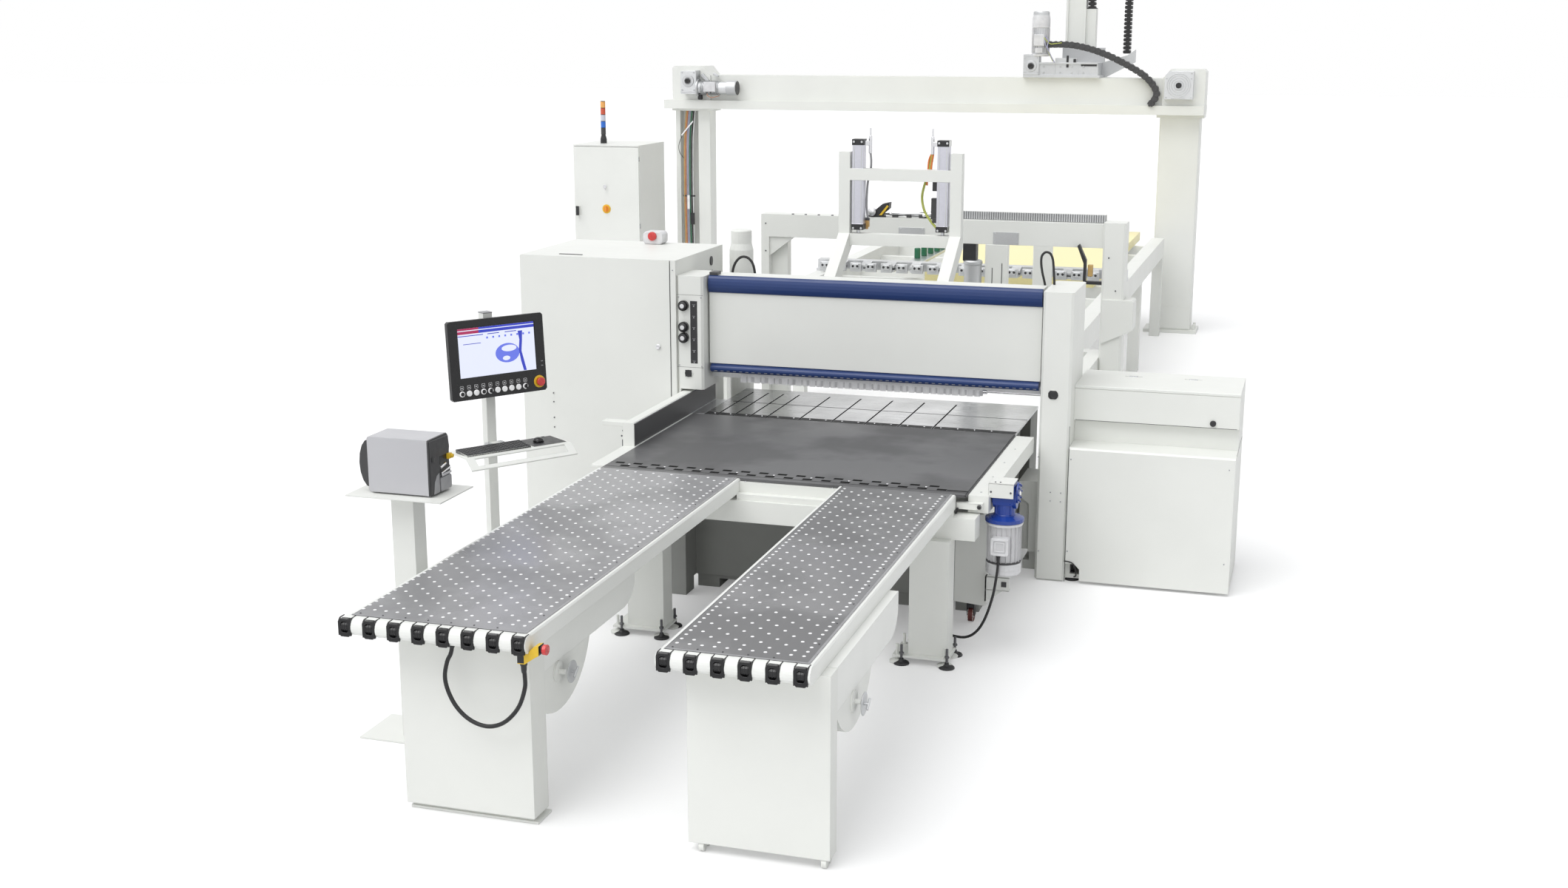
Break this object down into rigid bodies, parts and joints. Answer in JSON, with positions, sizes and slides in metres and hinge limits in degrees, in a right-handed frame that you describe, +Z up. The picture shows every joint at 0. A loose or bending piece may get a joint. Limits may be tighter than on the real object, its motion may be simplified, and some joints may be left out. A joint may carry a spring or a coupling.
{
  "type": "beam saw cell",
  "caption": "Beam saw cell with air tables, operator console, control cabinets, transfer frame, rear table and a loading gantry.",
  "frame": {"origin": "middle of the footprint on the floor, free cords left out", "axes": "+Z up; +Y is the feed direction, from the air tables through the saw to the gantry; +X to the right of the operator, who stands at -Y"},
  "size_m": [8.8762, 15.842, 4.48],
  "materials": {
    "left_table_frame": "satin powder coat",
    "left_table_top": "satin powder coat",
    "left_edge_rollers": "matt",
    "left_leg_panel": "satin powder coat",
    "left_blower_drum": "satin powder coat",
    "right_table_frame": "satin powder coat",
    "right_table_top": "satin powder coat",
    "right_edge_rollers": "matt",
    "right_leg_panel": "satin powder coat",
    "right_blower_drum": "satin powder coat",
    "support_frame": "satin powder coat",
    "apron_plate": "satin powder coat",
    "saw_table": "brushed",
    "side_beam": "satin powder coat",
    "side_fence": "satin powder coat",
    "machine_base": "satin powder coat",
    "left_post": "satin powder coat",
    "right_post": "satin powder coat",
    "regulator_knob_1": "matt",
    "regulator_knob_2": "matt",
    "regulator_knob_3": "matt",
    "front_cover": "satin powder coat",
    "blue_band": "satin powder coat",
    "pressure_beam": "machined",
    "safety_tube": "matt",
    "strip_curtain": "matt",
    "left_cabinet": "satin powder coat",
    "left_cabinet_door": "satin powder coat",
    "side_housing": "satin powder coat",
    "housing_lid": "satin powder coat",
    "saw_carriage": "machined",
    "saw_unit": "machined",
    "main_blade": "brushed",
    "scoring_blade": "brushed",
    "worm_gearbox": "satin powder coat",
    "table_motor": "machined",
    "motor_cable": "matt",
    "e_stop_box": "matt",
    "e_stop_button": "glossy",
    "e_stop_conduit": "matt",
    "console_post": "satin powder coat",
    "monitor": "matt",
    "monitor_e_stop": "glossy",
    "keyboard_tray": "satin powder coat",
    "printer_stand": "satin powder coat",
    "label_printer": "matt",
    "electrical_cabinet": "satin powder coat",
    "electrical_door": "satin powder coat",
    "main_switch": "glossy",
    "signal_tower": "matt",
    "portal_frame": "satin powder coat",
    "lift_frame": "satin powder coat",
    "rear_table": "satin powder coat",
    "clamp_carriage": "machined",
    "gantry_left_column": "satin powder coat",
    "gantry_right_column": "satin powder coat",
    "gantry_beam": "satin powder coat",
    "gantry_trolley": "machined",
    "gantry_mast": "satin powder coat",
    "energy_chain": "matt"
  },
  "bodies": {
    "cell": {"left_table_frame": "left_table_frame", "left_table_top": "left_table_top", "left_leg_panel": "left_leg_panel", "left_blower_drum": "left_blower_drum", "right_table_frame": "right_table_frame", "right_table_top": "right_table_top", "right_leg_panel": "right_leg_panel", "right_blower_drum": "right_blower_drum", "support_frame": "support_frame", "apron_plate": "apron_plate", "saw_table": "saw_table", "side_beam": "side_beam", "side_fence": "side_fence", "machine_base": "machine_base", "left_post": "left_post", "right_post": "right_post", "front_cover": "front_cover", "blue_band": "blue_band", "safety_tube": "safety_tube", "left_cabinet": "left_cabinet", "side_housing": "side_housing", "worm_gearbox": "worm_gearbox", "table_motor": "table_motor", "motor_cable": "motor_cable", "e_stop_box": "e_stop_box", "e_stop_conduit": "e_stop_conduit", "console_post": "console_post", "keyboard_tray": "keyboard_tray", "printer_stand": "printer_stand", "label_printer": "label_printer", "electrical_cabinet": "electrical_cabinet", "signal_tower": "signal_tower", "portal_frame": "portal_frame", "lift_frame": "lift_frame", "rear_table": "rear_table", "gantry_left_column": "gantry_left_column", "gantry_right_column": "gantry_right_column", "gantry_beam": "gantry_beam"},
    "left_rollers": {"left_edge_rollers": "left_edge_rollers"},
    "right_rollers": {"right_edge_rollers": "right_edge_rollers"},
    "knob_1": {"regulator_knob_1": "regulator_knob_1"},
    "knob_2": {"regulator_knob_2": "regulator_knob_2"},
    "knob_3": {"regulator_knob_3": "regulator_knob_3"},
    "beam": {"pressure_beam": "pressure_beam", "strip_curtain": "strip_curtain"},
    "carriage": {"saw_carriage": "saw_carriage"},
    "lifter": {"saw_unit": "saw_unit"},
    "main_saw": {"main_blade": "main_blade"},
    "scoring_saw": {"scoring_blade": "scoring_blade"},
    "cabinet_door": {"left_cabinet_door": "left_cabinet_door"},
    "lid": {"housing_lid": "housing_lid"},
    "electrical_cabinet_door": {"electrical_door": "electrical_door"},
    "switch": {"main_switch": "main_switch"},
    "screen": {"monitor": "monitor"},
    "screen_stop": {"monitor_e_stop": "monitor_e_stop"},
    "stop_button": {"e_stop_button": "e_stop_button"},
    "clamps": {"clamp_carriage": "clamp_carriage"},
    "trolley": {"gantry_trolley": "gantry_trolley", "energy_chain": "energy_chain"},
    "mast": {"gantry_mast": "gantry_mast"}
  },
  "joints": [
    {"name": "left_rollers_spin", "type": "hinge", "parent": "cell", "child": "left_rollers", "pos_m": [1.15985, -7.891, 0.958], "axis": [1, 0, 0], "continuous": true},
    {"name": "right_rollers_spin", "type": "hinge", "parent": "cell", "child": "right_rollers", "pos_m": [2.58985, -7.891, 0.958], "axis": [1, 0, 0], "continuous": true},
    {"name": "knob_1_turn", "type": "hinge", "parent": "cell", "child": "knob_1", "pos_m": [0.64985, -3.247, 1.764], "axis": [0, 1, 0], "range_deg": [-135, 135]},
    {"name": "knob_2_turn", "type": "hinge", "parent": "cell", "child": "knob_2", "pos_m": [0.64985, -3.247, 1.614], "axis": [0, 1, 0], "range_deg": [-135, 135]},
    {"name": "knob_3_turn", "type": "hinge", "parent": "cell", "child": "knob_3", "pos_m": [0.64985, -3.247, 1.538], "axis": [0, 1, 0], "range_deg": [-135, 135]},
    {"name": "pressure_beam_lower", "type": "slide", "parent": "cell", "child": "beam", "axis": [0, 0, 1], "range_m": [-0.2, 0]},
    {"name": "carriage_travel", "type": "slide", "parent": "cell", "child": "carriage", "axis": [1, 0, 0], "range_m": [-0.19, 1.19]},
    {"name": "blade_lift", "type": "slide", "parent": "carriage", "child": "lifter", "axis": [0, 0, 1], "range_m": [0, 0.23]},
    {"name": "main_blade_spin", "type": "hinge", "parent": "lifter", "child": "main_saw", "pos_m": [1.42385, -2.779, 0.69], "axis": [0, 1, 0], "continuous": true},
    {"name": "scoring_blade_spin", "type": "hinge", "parent": "lifter", "child": "scoring_saw", "pos_m": [1.70585, -2.779, 0.711], "axis": [0, 1, 0], "continuous": true},
    {"name": "cabinet_door_swing", "type": "hinge", "parent": "cell", "child": "cabinet_door", "pos_m": [-0.59015, -3.259, 1], "axis": [0, 0, 1], "range_deg": [-110, 0]},
    {"name": "lid_swing", "type": "hinge", "parent": "cell", "child": "lid", "pos_m": [3.89985, -2.469, 1.322], "axis": [1, 0, 0], "range_deg": [-80, 0]},
    {"name": "electrical_door_swing", "type": "hinge", "parent": "cell", "child": "electrical_cabinet_door", "pos_m": [-3.54015, 6.394, 1.1], "axis": [0, 0, 1], "range_deg": [0, 110]},
    {"name": "main_switch_turn", "type": "hinge", "parent": "electrical_cabinet_door", "child": "switch", "pos_m": [-3.99015, 6.394, 1.39], "axis": [0, 1, 0], "range_deg": [0, 90]},
    {"name": "screen_tilt", "type": "hinge", "parent": "cell", "child": "screen", "pos_m": [-0.0083, -4.91179, 1.662], "axis": [0.5752, 0.818, 0], "range_deg": [-8, 8]},
    {"name": "screen_stop_press", "type": "slide", "parent": "screen", "child": "screen_stop", "axis": [-0.8159, 0.5736, -0.0729], "range_m": [0, 0.005], "stiffness_N_per_m": 400},
    {"name": "stop_button_press", "type": "slide", "parent": "cell", "child": "stop_button", "axis": [-1, 0, 0], "range_m": [0, 0.005], "stiffness_N_per_m": 400},
    {"name": "clamp_travel", "type": "slide", "parent": "cell", "child": "clamps", "axis": [0, 1, 0], "range_m": [-3.1, 3.7]},
    {"name": "trolley_travel", "type": "slide", "parent": "cell", "child": "trolley", "axis": [1, 0, 0], "range_m": [-3.9, 0]},
    {"name": "mast_lift", "type": "slide", "parent": "trolley", "child": "mast", "axis": [0, 0, 1], "range_m": [-1.3, 0.3]}
  ]
}
